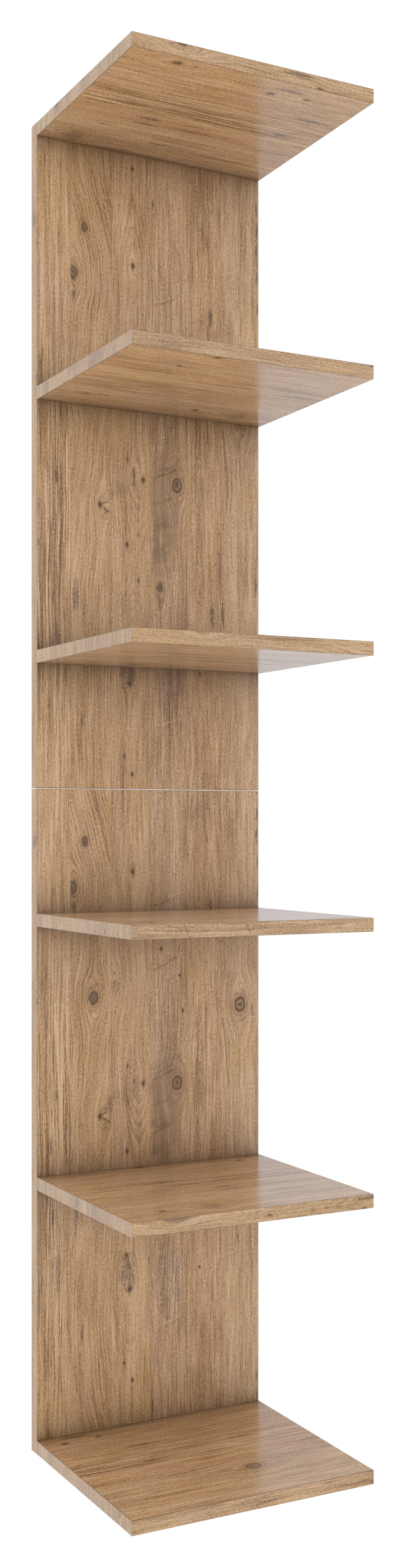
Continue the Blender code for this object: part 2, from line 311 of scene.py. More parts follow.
# Places that the grain bends round: place across, place along, radius of the bend
BENDS = {
    "outer": [(-80, 530, 9), (-100, 695, 12)],
    "brown": [(-39, 67, 6)],
    "splinter": [],
    "knotty": [(50, 193, 14), (84, 345, 13), (100, 508, 9)],
    "flame": [(144, 172, 5), (112, 328, 11), (148, 464, 8), (152, 609, 4), (138, 742, 10)],
    "grey": [(188, 281, 4), (213, 471, 13), (186, 617, 8)],
    "warm": [(266, 226, 4), (269, 653, 5)],
    "pale": [(314, 365, 15)],
    "last": [(362, 730, 12), (360, 788, 6)],
}

# Dark dashes along the grain of each plank: place across, place along, half width
DASHES = {
    "outer": [(-96, 530, 4)],
    "brown": [(-28, 462, 4.5), (-6, 665, 1.3)],
    "splinter": [(29, 475, 1.8), (21, 545, 2.2), (24, 640, 2)],
    "knotty": [(55, 222, 2.6), (67, 806, 2.2)],
    "flame": [(143, 50, 1.0), (146, 464, 2.2), (169, 716, 1.5)],
    "grey": [(175, 80, 1.3), (216, 283, 1.4)],
    "warm": [(261, 126, 1.2), (266, 226, 2.6), (269, 653, 3)],
    "pale": [
        (341, 60, 1.4),
        (342, 90, 1.4),
        (341, 120, 1.4),
        (342, 160, 1.5),
        (343, 205, 1.3),
        (334, 373, 1.2),
        (341, 606, 2.0),
        (286, 649, 2.2),
        (311, 699, 1.5),
    ],
    "last": [(349, 118, 2.5)],
}

# Split and weathered places, where streaks are strongest: centre across and along, half sizes
RUSTIC = [
    ((22, 470), (34, 190)),
    ((20, 740), (30, 150)),
    ((250, 430), (22, 90)),
    ((100, 90), (14, 50)),
]

# Scuffed places with softer grain: centre across and along, half sizes
SOFTENED = [
    ((192, 510), (30, 100)),
]

# Places where the growth rings stand out: centre across and along, half sizes
RING_PLACES = [
    ((82, 160), (34, 110)),
    ((314, 365), (26, 60)),
    ((205, 745), (24, 70)),
    ((146, 535), (20, 85)),
    ((144, 110), (16, 60)),
]

# Pitted places: centre across and along, half sizes
PITS = [
    ((103, 82), (9, 34)),
    ((60, 338), (11, 16)),
    ((246, 430), (9, 75)),
    ((246, 600), (9, 65)),
    ((102, 517), (10, 4)),
    ((341, 122), (5, 66)),
    ((216, 296), (4, 28)),
]

# Colours of the wood and its knots, linear
LIGHT_WOOD = (0.60, 0.42, 0.268, 1.0)
DARK_WOOD = (0.135, 0.070, 0.028, 1.0)
YELLOW_WOOD = (0.44, 0.268, 0.112, 1.0)
PINK_WOOD = (0.39, 0.228, 0.135, 1.0)
GREY_BROWN = (0.210, 0.128, 0.076, 1.0)
BLOND = (0.50, 0.33, 0.185, 1.0)
GOLDEN = (0.40, 0.228, 0.088, 1.0)
BROWN = (0.21, 0.118, 0.060, 1.0)
KNOT_CORE = (0.075, 0.045, 0.028, 1.0)
KNOT_RIM = (0.170, 0.086, 0.040, 1.0)
KNOT_BROWN = (0.175, 0.105, 0.060, 1.0)
KNOT_HALO = (0.330, 0.170, 0.070, 1.0)
SCRATCH_PALE = (0.60, 0.47, 0.33, 1.0)

# Saw scratches: two ends, each across and along, half width, colour, share of it
SCRATCHES = [
    ((168, 221), (187, 219), 2.4, DARK_WOOD, 0.60),
    ((183, 220), (212, 209), 2.4, DARK_WOOD, 0.75),
    ((172, 313), (218, 291), 2.2, DARK_WOOD, 0.65),
    ((210, 440), (222, 430), 2.6, DARK_WOOD, 0.50),
    ((176, 458), (212, 441), 3.0, DARK_WOOD, 0.35),
    ((171, 467), (220, 446), 2.4, DARK_WOOD, 0.75),
    ((171, 503), (192, 494), 2.6, DARK_WOOD, 0.60),
    ((186, 498), (208, 489), 4.0, DARK_WOOD, 0.45),
    ((171, 541), (206, 526), 2.6, DARK_WOOD, 0.60),
    ((176, 533), (200, 523), 4.0, DARK_WOOD, 0.45),
    ((174, 572), (196, 560), 4.0, DARK_WOOD, 0.40),
    ((92, 508), (112, 502), 2.6, DARK_WOOD, 0.85),
    ((93, 509), (112, 520), 3.0, DARK_WOOD, 0.90),
    ((97, 523), (111, 513), 2.8, DARK_WOOD, 0.80),
    ((175, 813), (222, 799), 2.0, SCRATCH_PALE, 0.35),
    ((372, 545), (382, 562), 2.0, DARK_WOOD, 0.80),
]

# Fine cracks along the grain: two ends, each across and along, half width, share of dark wood
CRACKS = [
    ((81, 45), (110, 163), 1.8, 0.60),
    ((287, 380), (296, 486), 2.0, 0.65),
]

# Wide soft patches: centre across and along, half sizes, colour, share of it
PATCHES = [
    ((189, 505), (19, 95), GREY_BROWN, 0.45),
    ((190, 525), (17, 13), BROWN, 0.55),
    ((187, 565), (15, 18), KNOT_BROWN, 0.60),
    ((195, 452), (20, 10), KNOT_BROWN, 0.45),
    ((122, 484), (14, 12), BROWN, 0.40),
    ((106, 497), (9, 13), BROWN, 0.45),
    ((195, 480), (25, 150), GREY_BROWN, 0.50),
    ((84, 440), (26, 55), GOLDEN, 0.45),
    ((104, 85), (9, 40), GOLDEN, 0.50),
    ((136, 731), (14, 34), BROWN, 0.95),
    ((137, 737), (10, 22), KNOT_BROWN, 0.60),
    ((117, 330), (8, 10), BROWN, 0.55),
    ((29, 712), (8, 48), GREY_BROWN, 0.80),
    ((58, 636), (5, 34), KNOT_BROWN, 0.85),
    ((203, 752), (20, 66), GREY_BROWN, 0.55),
    ((174, 130), (4, 95), GREY_BROWN, 0.35),
    ((341, 540), (9, 110), BROWN, 0.30),
    ((198, 745), (26, 60), GREY_BROWN, 0.40),
    ((255, 70), (30, 50), GREY_BROWN, 0.30),
    ((366, 722), (22, 14), GREY_BROWN, 0.70),
    ((104, 506), (6, 5), BLOND, 0.80),
    ((22, 60), (28, 110), BLOND, 0.35),
    ((24, 40), (30, 160), YELLOW_WOOD, 0.35),
    ((38, 520), (16, 140), BLOND, 0.45),
    ((56, 100), (9, 60), BLOND, 0.40),
    ((57, 785), (9, 45), BLOND, 0.35),
    ((0, 620), (36, 130), BROWN, 0.22),
    ((246, 520), (7, 150), BROWN, 0.40),
]


def across_planks(u, values):
    """The three numbers that belong to the plank under u, as a colour. values has three for each plank."""
    stops = []
    for plank, numbers in zip(PLANKS.values(), values):
        start = (plank["start"] - SHEET_LEFT) / (SHEET_RIGHT - SHEET_LEFT)
        stops.append((start, numbers))
    return steps((u - SHEET_LEFT) / (SHEET_RIGHT - SHEET_LEFT), stops)


def plank_values(u, *names):
    """Three named numbers of the plank under u."""
    values = []
    for plank in PLANKS.values():
        values.append([plank[name] / PLANK_RANGES[name] + 0.5 for name in names])
    found = channels(across_planks(u, values))
    return [(number - 0.5) * PLANK_RANGES[name] for number, name in zip(found, names)]


def along_from(v, place):
    """Distance along the grain to the nearest repeat of a place."""
    return calc("WRAP", v - place, SHEET_REPEAT / 2, -SHEET_REPEAT / 2)


def reach_from(place, centre, half):
    """Squared distance from a centre on the sheet, 1 at the half sizes."""
    across = (place.u - centre[0]) / half[0]
    along = along_from(place.v, centre[1]) / half[1]
    return square(across) + square(along)


NEAR_FADE = (1.2, 0.3)


def near(place, centre, half):
    """1 about a centre on the sheet, falling to 0 near the half sizes."""
    return ramp_up(reach_from(place, centre, half), *NEAR_FADE)


# A mark out of sight for planks that have none, and the scale that lets a colour carry millimetres
FAR_OFF = (-400.0, 0.0, 1.0)
PLACE_SCALE = 1000.0


def nearest_mark(place, marks):
    """Place and radius of the mark that is nearest along the plank. Marks are listed in order along it."""
    chosen = None
    for name, plank in PLANKS.items():
        listed = marks[name] or [FAR_OFF]
        stops = []
        start = 0.0
        for index, (across, along, radius) in enumerate(listed):
            if index > 0:
                start = (listed[index - 1][1] + along) / 2 / SHEET_REPEAT
            numbers = (across - FAR_OFF[0], along, radius)
            stops.append((start, [number / PLACE_SCALE for number in numbers]))
        ramp = steps(place.turn, stops)
        chosen = ramp if chosen is None else blend(above(place.u, plank["start"]), chosen, ramp)
    across, along, radius = channels(chosen)
    return across * PLACE_SCALE + FAR_OFF[0], along * PLACE_SCALE, radius * PLACE_SCALE


# How the grain runs: how long a bend is for its width, how blunt, and where it fades along the grain
BEND_LENGTH = 2.6
BEND_BLUNT = 0.25
BEND_FADE = (64.0, 20.0)
WANDER = 2.2
RIPPLE = 0.3

# How far the grain of one plank slants to the right along the sheet, in shares of the most
SLANT = [
    (0.0, 0.05), (0.05, 0.12), (0.21, 1.0), (0.27, 1.0),
    (0.42, 0.78), (0.62, 0.32), (0.82, 0.05), (1.0, 0.05),
]
SLANT_MOST = 26.0
SLANT_FROM = PLANKS["knotty"]["start"]
SLANT_TO = PLANKS["flame"]["start"]


class DecorPlace:
    """A place on the decor sheet, as fields: u across, v along, bent across the grain as it bends."""

    def __init__(self, u, v):
        self.u = u
        self.v = v
        self.turn = fraction(v / SHEET_REPEAT)
        numbers = [(index / len(PLANKS),) * 3 for index in range(len(PLANKS))]
        self.plank_seed = channels(across_planks(u, numbers))[0] * PLANKS_APART
        self.noises = {}
        self.bent = self.bent_across()

    def noise(self, name):
        """One of the noises in the table, made once."""
        if name not in self.noises:
            values = NOISES[name]
            across = self.bent if values.get("bent") else self.u
            seed = self.plank_seed + values["seed"] if values.get("own") else values["seed"]
            detail = values.get("detail", NOISE_DETAIL)
            roughness = values.get("roughness", NOISE_ROUGHNESS)
            self.noises[name] = noise(
                across * values["across"], self.v * values["along"], seed, detail, roughness
            )
        return self.noises[name]

    def bent_across(self):
        """The place across, with the grain bent round knots, slanting in one plank and wandering."""
        bend_u, bend_v, radius = nearest_mark(self, BENDS)
        across = self.u - bend_u
        along = along_from(self.v, bend_v)
        room = square(across) + square(along / BEND_LENGTH) + square(radius) * BEND_BLUNT
        bend = across * square(radius) / room * ramp_up(size_of(along), *BEND_FADE)
        in_plank = above(self.u, SLANT_FROM) * below(self.u, SLANT_TO)
        slant = curve_over(self.turn, SLANT) * in_plank * SLANT_MOST
        wander = self.noise("wander") * WANDER + self.noise("ripple") * RIPPLE
        return self.u - bend - slant + wander


# Growth rings: how far they stand off the heart and how the heart swings along the sheet, in shares of the
# most in millimetres, then where the late wood starts and ends in a ring, and how much of a ring shows
RING_STAND = [
    (0.0, 0.80), (0.05, 0.85), (0.24, 0.22), (0.54, 0.15),
    (0.70, 0.92), (0.74, 0.80), (0.84, 0.20), (1.0, 0.80),
]
STAND_MOST = 24.0
HEART_SWING = [
    (0.0, 0.42), (0.22, 0.45), (0.45, 0.60), (0.63, 0.90), (0.76, 0.55), (0.90, 0.20), (1.0, 0.42),
]
SWING_MOST = 20.0
SWING_LEFT = 9.0
RING_UNEVENNESS = 0.35
LATE_WOOD_START = (0.20, 0.85)
LATE_WOOD_END = (1.0, 0.88)
RING_SHOWS = (-0.9, 0.6)
RING_BOOST = 0.5


def growth_rings(place):
    """Strength of the dark late wood of the growth rings, before the plank's own strength."""
    heart, spacing, _ = plank_values(place.u, "heart", "spacing", "grey")
    stand = curve_over(place.turn, RING_STAND) * STAND_MOST
    swing = curve_over(place.turn, HEART_SWING) * SWING_MOST - SWING_LEFT
    distance = root(square(place.bent - heart - swing) + square(stand))
    phase = fraction(distance / spacing + place.noise("ring_unevenness") * RING_UNEVENNESS)
    late_wood = ramp_up(phase, *LATE_WOOD_START) * ramp_up(phase, *LATE_WOOD_END)
    presence = ramp_up(place.noise("ring_presence"), *RING_SHOWS)
    for centre, half in RING_PLACES:
        presence = presence + near(place, centre, half) * RING_BOOST
    return late_wood * presence


# Shares of the grain's parts, and the ranges of noise over which they appear
GRAIN_SHARES = dict(fibres=0.44, fine_fibres=0.26, speckle=0.46, blotch=0.16, broad=0.18)
GRAIN_GROUND = 0.16
GRAIN_CONTRAST = 1.1
SOFTENED_BY = 0.6
STREAK_LEAST = 0.10
STREAK_SHARE = 0.36
SPLINTER_SHOWS = (-0.05, 0.35)
SPLINTER_SHARE = 0.55
SPLINTER_GROUND = 0.26
RUSTIC_SHOWS = (-0.5, 0.9)
RUSTIC_SHARE = 0.8
LINE_EDGE = (0.14, 0.0)
LINE_SHOWS = (-0.5, 0.5)
LINE_SHARE = 0.62
RING_SHARE = 0.46
PORE_SHOWS = (0.55, 0.95)
PORE_LEAST = 0.18
PORE_SHARE = 0.40


def pores_at(place):
    """Short dark pores along the grain, from 0 to 1."""
    return ramp_up(place.noise("pores"), *PORE_SHOWS)


def grain_at(place):
    """The grain: above 0 where it is lighter than the plank's tone and below 0 where it is darker."""
    rings, lines, streaks = plank_values(place.u, "rings", "lines", "streaks")
    rustic = ramp_up(place.noise("rustic"), *RUSTIC_SHOWS) * RUSTIC_SHARE
    for centre, half in RUSTIC:
        rustic = rustic + near(place, centre, half)
    grain = place.noise("streak") * (streaks * STREAK_SHARE + STREAK_LEAST) + GRAIN_GROUND
    for name, share in GRAIN_SHARES.items():
        grain = grain + place.noise(name) * share
    splinter = ramp_up(place.noise("splinter"), *SPLINTER_SHOWS) * SPLINTER_SHARE - SPLINTER_GROUND
    grain = grain + splinter * rustic * streaks
    dark_lines = ramp_up(size_of(place.noise("lines")), *LINE_EDGE)
    dark_lines = dark_lines * ramp_up(place.noise("line_presence"), *LINE_SHOWS)
    grain = grain - growth_rings(place) * rings * RING_SHARE - dark_lines * lines * LINE_SHARE
    grain = grain - pores_at(place) * (rustic * PORE_SHARE + PORE_LEAST)
    softened = 0.0
    for centre, half in SOFTENED:
        softened = larger(near(place, centre, half), softened)
    return grain * (GRAIN_CONTRAST - softened * SOFTENED_BY)


# Hues, weathering and patches under the grain, then the grain's share of dark wood
HUE_SHOWS = (-0.1, 0.9)
HUES = {
    "yellow": (YELLOW_WOOD, 0.6),
    "pink": (PINK_WOOD, 0.6),
    "yellow_fibres": (YELLOW_WOOD, 0.35),
    "pink_fibres": (PINK_WOOD, 0.35),
}
WEATHER_STREAKS = 0.8
WEATHER_SHOWS = (0.1, 1.1)
WEATHER_SHARE = 0.6
PATCH_FADE = (1.25, 0.1)
PATCH_FIBRES = 0.35
PATCH_SCUFFS = 0.5
DARK_SHARE = 0.95

# Waves per millimetre of the slanting scuffs that break the patches up: by u, by v
SCUFF_ACROSS = (0.035, 0.08)
SCUFF_ALONG = (-0.012, 0.03)
SCUFF_SEED = 44.0
SCUFF_DETAIL = 3.0
SCUFF_ROUGHNESS = 0.6


def wood_colour(place, grain):
    """Colour of the planks with hues, weathering, patches and grain."""
    colour = across_planks(place.u, [plank["tone"] for plank in PLANKS.values()])
    for name, (hue, share) in HUES.items():
        colour = blend(ramp_up(place.noise(name), *HUE_SHOWS) * share, colour, hue)
    _, _, grey = plank_values(place.u, "heart", "spacing", "grey")
    weathered = ramp_up(place.noise("blotch") + place.noise("streak") * WEATHER_STREAKS, *WEATHER_SHOWS)
    colour = blend(weathered * grey * WEATHER_SHARE, colour, GREY_BROWN)
    scuffs = noise(
        place.u * SCUFF_ACROSS[0] + place.v * SCUFF_ACROSS[1],
        place.u * SCUFF_ALONG[0] + place.v * SCUFF_ALONG[1],
        SCUFF_SEED,
        SCUFF_DETAIL,
        SCUFF_ROUGHNESS,
    )
    ragged = place.noise("fibres") * PATCH_FIBRES + scuffs * PATCH_SCUFFS
    for centre, half, patch_colour, share in PATCHES:
        patch = ramp_up(reach_from(place, centre, half) + ragged, *PATCH_FADE)
        colour = blend(patch * share, colour, patch_colour)
    colour = blend(larger(grain, 0.0), colour, LIGHT_WOOD)
    return blend(larger(grain * -DARK_SHARE, 0.0), colour, DARK_WOOD)


# Knots. Distances are in radii of the knot. Large ones are ringed, the largest are pale inside like an eye,
# and small ones are plain pins with a tail along the grain.
KNOT_LENGTH = 1.3
LARGE_RADIUS = (3.5, 5.5)
EYE_RADIUS = (7.6, 8.2)
OUTLINE_RAGGED = 0.24
GRAIN_RAGGED = 0.12
EYE_RAGGED = 0.4
HALO_FADE = (2.4, 0.9)
HALO_SHARE = 0.40
KNOT_RING_TURNS = 9.0
KNOT_RING_START = 1.2
KNOT_RING_EDGE = (0.1, 0.95)
KNOT_RING_FADE = (2.7, 1.2)
KNOT_RING_SHARE = 0.38
BODY_FADE = (1.2, 0.85)
BODY_SHARE = 0.85
EYE_BODY_SHARE = 0.35
RIM_INNER = (0.45, 0.85)
RIM_OUTER = (1.15, 0.92)
HEART_FADE = (0.55, 0.15)
HEART_RAGGED = 2.0
LARGE_CORE_SHARE = 0.6
EYE_CORE_SHARE = 0.8
PIN_FADE = (1.15, 0.6)
PIN_SHARE = 0.75
TAIL_SIDE = (0.8, 0.2)
TAIL_END = (4.5, 1.0)
TAIL_SHARE = 0.6
KNOT_CRACK_EDGE = (0.4, 0.9)
KNOT_CRACK_SHARE = 0.5


def with_knots(colour, place):
    """The colour with the planks' knots over it."""
    knot_u, knot_v, radius = nearest_mark(place, KNOTS)
    across = place.u - knot_u
    along = along_from(place.v, knot_v)
    large = ramp_up(radius, *LARGE_RADIUS)
    eye = ramp_up(radius, *EYE_RADIUS)
    ragged = place.noise("knot_outline") * OUTLINE_RAGGED + place.noise("knot_grain") * GRAIN_RAGGED
    ragged = ragged * choose(eye, 1.0, EYE_RAGGED)
    out = root(square(across) + square(along / KNOT_LENGTH)) / radius + ragged
    colour = blend(ramp_up(out, *HALO_FADE) * HALO_SHARE, colour, KNOT_HALO)
    rings = ramp_up(calc("SINE", out * KNOT_RING_TURNS + KNOT_RING_START), *KNOT_RING_EDGE)
    rings = rings * ramp_up(out, *KNOT_RING_FADE)
    colour = blend(rings * large * KNOT_RING_SHARE, colour, KNOT_RIM)
    body = ramp_up(out, *BODY_FADE)
    colour = blend(body * choose(eye, BODY_SHARE, EYE_BODY_SHARE), colour, KNOT_BROWN)
    rim = ramp_up(out, *RIM_INNER) * ramp_up(out, *RIM_OUTER)
    heart = ramp_up(out + ragged * HEART_RAGGED, *HEART_FADE)
    tail = ramp_up(size_of(across) / radius + ragged, *TAIL_SIDE)
    tail = tail * ramp_up(size_of(along) / radius, *TAIL_END)
    pin = larger(ramp_up(out, *PIN_FADE), tail * TAIL_SHARE)
    large_core = larger(rim, heart) * choose(eye, LARGE_CORE_SHARE, EYE_CORE_SHARE)
    core = choose(large, pin * PIN_SHARE, large_core)
    cracks = ramp_up(place.noise("knot_cracks"), *KNOT_CRACK_EDGE) * body
    return blend(larger(core, cracks * KNOT_CRACK_SHARE), colour, KNOT_CORE)


DASH_LENGTH = 5.5
DASH_FADE = (1.6, 0.0)
DASH_SHARE = 0.75
DASH_RAGGED = dict(fibres=0.6, fine_fibres=0.4, speckle=0.3)


def with_dashes(colour, place):
    """The colour with short dark dashes along the grain."""
    dash_u, dash_v, half = nearest_mark(place, DASHES)
    out = root(square(place.u - dash_u) + square(along_from(place.v, dash_v) / DASH_LENGTH)) / half
    for name, share in DASH_RAGGED.items():
        out = out + place.noise(name) * share
    return blend(ramp_up(out, *DASH_FADE) * DASH_SHARE, colour, KNOT_CORE)


STROKE_CORE = 0.4
STROKE_END = 8.0
SCRATCH_WAVE = 1.5
SCRATCH_SHOWS = (0.6, -0.3)
CRACK_WAVE = 1.2


def stroke_between(place, first, last, half_width, wave):
    """1 on a stroke between two places on the sheet, falling to 0 at its sides and ends. wave bends it."""
    length = math.dist(first, last)
    over = (last[0] - first[0]) / length
    down = (last[1] - first[1]) / length
    across = place.u - (first[0] + last[0]) / 2
    along = along_from(place.v, (first[1] + last[1]) / 2)
    off_line = size_of(across * down - along * over + wave)
    from_middle = size_of(across * over + along * down)
    ends = ramp_up(from_middle, length / 2, length / 2 - STROKE_END)
    return ramp_up(off_line, half_width, STROKE_CORE) * ends


def with_scratches(colour, place):
    """The colour with saw scratches that slant over the grain, broken in places."""
    broken = place.noise("scratch_breaks")
    shows = ramp_up(broken, *SCRATCH_SHOWS)
    for first, last, half_width, scratch_colour, share in SCRATCHES:
        mark = stroke_between(place, first, last, half_width, broken * SCRATCH_WAVE) * shows
        colour = blend(mark * share, colour, scratch_colour)
    return colour


def with_cracks(colour, place):
    """The colour with fine dark cracks along the grain."""
    wave = place.noise("ripple") * CRACK_WAVE
    for first, last, half_width, share in CRACKS:
        mark = stroke_between(place, first, last, half_width, wave)
        colour = blend(mark * share, colour, DARK_WOOD)
    return colour


PIT_EDGE = (0.1, 0.8)
PIT_SHARE = 0.85
JOINT_EDGE = (1.0, 0.2)
JOINT_SHOWS = (-0.6, 0.6)
JOINT_SHARE = 0.35


def with_pits_and_joints(colour, place):
    """The colour with pitted places and faint dark joints between the planks."""
    pitted = 0.0
    for centre, half in PITS:
        pitted = larger(near(place, centre, half), pitted)
    pits = pitted * ramp_up(place.noise("pits"), *PIT_EDGE)
    colour = blend(pits * PIT_SHARE, colour, DARK_WOOD)
    joint = 0.0
    for plank in PLANKS.values():
        joint = larger(ramp_up(size_of(place.u - plank["start"]), *JOINT_EDGE), joint)
    joint = joint * ramp_up(place.noise("joint_breaks"), *JOINT_SHOWS)
    return blend(joint * JOINT_SHARE, colour, DARK_WOOD)


LACQUER_ROUGHNESS = 0.20
GRAIN_SMOOTHER = 0.03
PORE_ROUGHER = 0.08


def make_decor_sheet():
    """The node group that gives colour, roughness and height of the decor at u and v."""
    tree = bpy.data.node_groups.new("decor_sheet", "ShaderNodeTree")
    for name in ("u", "v"):
        tree.interface.new_socket(name, in_out="INPUT", socket_type="NodeSocketFloat")
    tree.interface.new_socket("colour", in_out="OUTPUT", socket_type="NodeSocketColor")
    for name in ("roughness", "height"):
        tree.interface.new_socket(name, in_out="OUTPUT", socket_type="NodeSocketFloat")
    start = tree.nodes.new("NodeGroupInput")
    end = tree.nodes.new("NodeGroupOutput")
    place = DecorPlace(Field(start.outputs["u"]), Field(start.outputs["v"]))
    grain = grain_at(place)
    colour = wood_colour(place, grain)
    colour = with_knots(colour, place)
    colour = with_dashes(colour, place)
    colour = with_scratches(colour, place)
    colour = with_cracks(colour, place)
    colour = with_pits_and_joints(colour, place)
    roughness = LACQUER_ROUGHNESS - grain * GRAIN_SMOOTHER + pores_at(place) * PORE_ROUGHER
    feed(end.inputs["colour"], colour)
    feed(end.inputs["roughness"], roughness)
    feed(end.inputs["height"], place.noise("relief"))
    return tree


decor_sheet = make_decor_sheet()


def new_material(name):
    """A material with a Principled shader alone, and that shader."""
    material = bpy.data.materials.new(name)
    material.use_nodes = True
    material.node_tree.nodes.clear()
    shader = material.node_tree.nodes.new("ShaderNodeBsdfPrincipled")
    output = material.node_tree.nodes.new("ShaderNodeOutputMaterial")
    material.node_tree.links.new(shader.outputs["BSDF"], output.inputs["Surface"])
    return material, shader


def place_in_millimetres(material):
    """The place on the part, as three fields."""
    tree = material.node_tree
    coordinates = tree.nodes.new("ShaderNodeTexCoord")
    node = tree.nodes.new("ShaderNodeSeparateXYZ")
    tree.links.new(coordinates.outputs["Object"], node.inputs["Vector"])
    return [Field(socket) * MILLIMETRES_IN_METRE for socket in node.outputs]


def decor_at(material, u, v):
    """Colour, roughness and height of the decor sheet at u and v."""
    node = material.node_tree.nodes.new("ShaderNodeGroup")
    node.node_tree = decor_sheet
    feed(node.inputs["u"], u)
    feed(node.inputs["v"], v)
    return [Field(node.outputs[name]) for name in ("colour", "roughness", "height")]


# Relief heights in metres
RELIEF_STRENGTH = 0.22
GRAIN_RELIEF = 0.00012
ZINC_RELIEF = 0.00004
LACQUER_IOR = 1.42


def wear_relief(material, shader, height, distance):
    """Gives the surface the relief of a height field."""
    node = material.node_tree.nodes.new("ShaderNodeBump")
    feed(node.inputs["Strength"], RELIEF_STRENGTH)
    feed(node.inputs["Distance"], distance)
    feed(node.inputs["Height"], height)
    feed(shader.inputs["Normal"], Field(node.outputs["Normal"]))


def lacquer(material, shader, colour, roughness, height):
    """Sets a shader to lacquered wood."""
    feed(shader.inputs["Base Color"], colour)
    feed(shader.inputs["Roughness"], roughness)
    feed(shader.inputs["IOR"], LACQUER_IOR)
    wear_relief(material, shader, height, GRAIN_RELIEF)


# Raw board, seen in holes and recesses deeper than the skin of the decor
CHIP_DARK = (0.22, 0.135, 0.075, 1.0)
CHIP_PALE = (0.50, 0.36, 0.22, 1.0)
CHIP_SEED = 81.0
CHIP_SCALE = 0.45
CHIP_LEAN = (0.2, -0.3)
CHIP_DETAIL = 3.0
CHIP_ROUGHNESS = 0.6
RAW_ROUGHNESS = 0.9
SKIN = 0.3


def chipboard(x, y, z):
    """Colour of raw board where a hole or a recess opens it."""
    across = x * CHIP_SCALE + y * CHIP_LEAN[0]
    up = z * CHIP_SCALE + y * CHIP_LEAN[1]
    chips = noise(across, up, CHIP_SEED, CHIP_DETAIL, CHIP_ROUGHNESS)
    return blend(ramp_up(chips, *NOISE_RANGE), CHIP_DARK, CHIP_PALE)


# Painted shade in the inner corners, darkest where the panel and the shelves meet
CORNER_SHADE_BROWN = (0.05, 0.016, 0.002, 1.0)
PANEL_CORNER_SHADE = dict(strength=0.55, reach=22.0)
SHELF_CORNER_SHADE = dict(strength=0.75, reach=15.0)
PANEL_ROUGHER = 0.10
EDGE_ROUGHER = 0.10


def corner_shade(distance, strength, reach):
    """Share of the painted shade that darkens an inner corner."""
    return calc("EXPONENT", larger(distance, 0.0) / -reach) * strength


def below_shelf_top(z):
    """Distance below the nearest shelf top above a place."""
    return calc("WRAP", TOP - z, SHELF_PITCH, 0.0)


def panel_material():
    """Wood with the grain upright, with painted shade beside the shelves."""
    material, shader = new_material("panel_wood")
    x, y, z = place_in_millimetres(material)
    colour, roughness, height = decor_at(material, x + WIDTH / 2, TOP - z)
    down = below_shelf_top(z)
    to_shelf = smaller(down - BOARD, SHELF_PITCH - down)
    on_front = below(y, -BOARD + SKIN)
    # Painted shade: the panel's front darkens towards the shelves above and below it.
    colour = blend(on_front * corner_shade(to_shelf, **PANEL_CORNER_SHADE), colour, CORNER_SHADE_BROWN)
    inside = above(y, -BOARD + SKIN) * below(y, -SKIN)
    colour = blend(inside, colour, chipboard(x, y, z))
    lacquer(material, shader, colour, choose(inside, roughness + PANEL_ROUGHER, RAW_ROUGHNESS), height)
    return material


def richer(colour, saturation, value):
    """A colour with its saturation and brightness scaled."""
    node = tree_of(colour).nodes.new("ShaderNodeHueSaturation")
    feed(node.inputs["Saturation"], saturation)
    feed(node.inputs["Value"], value)
    feed(node.inputs["Color"], colour)
    return Field(node.outputs["Color"])


# Where each shelf was cut from the sheet: offset along and across for the top face and the underside.
# saturation and value scale the saturation and brightness of its colour against the panel's decor. open
# names a face with no panel beside it, which gets no painted shade.
SHELF_CUTS = {
    "top": dict(top=(300, -120), under=(764, 184), saturation=1.04, value=1.05, open="top"),
    "second": dict(top=(40, -110), under=(1005, 201), saturation=1.04, value=1.04),
    "third": dict(top=(700, -125), under=(849, 203), saturation=1.00, value=1.10),
    "fourth": dict(top=(406, -147), under=(520, 190), saturation=0.93, value=1.14),
    "fifth": dict(top=(848, -106.5), under=(230, 195), saturation=1.04, value=1.07),
    "bottom": dict(top=(580, -107), under=(380, 200), saturation=1.04, value=1.06, open="under"),
}
PLANKS_SKIPPED_FROM = 50.0
PLANKS_SKIPPED = 206.0


def shelf_material(name, cuts, top_z):
    """Wood with the grain along the shelf. The faces show other planks than the panel does."""
    material, shader = new_material(name)
    x, y, z = place_in_millimetres(material)
    left = x + WIDTH / 2
    depth = (y + BOARD) * -1.0
    under = below(z, top_z - BOARD / 2)
    v_top, w_top = cuts["top"]
    v_under, w_under = cuts["under"]
    across = choose(under, depth + w_top, w_under - depth)
    along = choose(under, v_top - left, v_under - left)
    u = across + above(across, PLANKS_SKIPPED_FROM) * PLANKS_SKIPPED
    colour, roughness, height = decor_at(material, u, along)
    colour = richer(colour, cuts["saturation"], cuts["value"])
    # Painted shade: the faces darken towards the panel, except a face with no panel beside it.
    shade = corner_shade(depth, **SHELF_CORNER_SHADE)
    if cuts.get("open") == "top":
        shade = shade * under
    if cuts.get("open") == "under":
        shade = shade * (1.0 - under)
    colour = blend(shade, colour, CORNER_SHADE_BROWN)
    inside = above(z, top_z - BOARD + SKIN) * below(z, top_z - SKIN)
    colour = blend(inside, colour, chipboard(x, y, z))
    lacquer(material, shader, colour, choose(inside, roughness, RAW_ROUGHNESS), height)
    return material


# Where each front edging was cut from the sheet: v at its left end, u at its top
FRONT_CUTS = {
    "top": (764, -100),
    "second": (1007, 286),
    "third": (427, 118),
    "fourth": (372, 194),
    "fifth": (799, 141.5),
    "bottom": (581, 251),
}
FRONT_EDGE = (0.19, 0.155, 0.105, 1.0)
FRONT_EDGE_SHARE = 0.18

# Cuts of the side edging: u at the wall plane, v at the top
PANEL_SIDE_CUT = (60.0, 0.0)
SHELF_SIDE_CUT = (-18.0, 130.0)
# Pale colour of the side edging: partly a paler print, partly painted sheen
PALE_EDGE_AND_SHEEN = (0.379, 0.309, 0.237, 1.0)
PALE_EDGE_AND_SHEEN_SHARE = 0.35

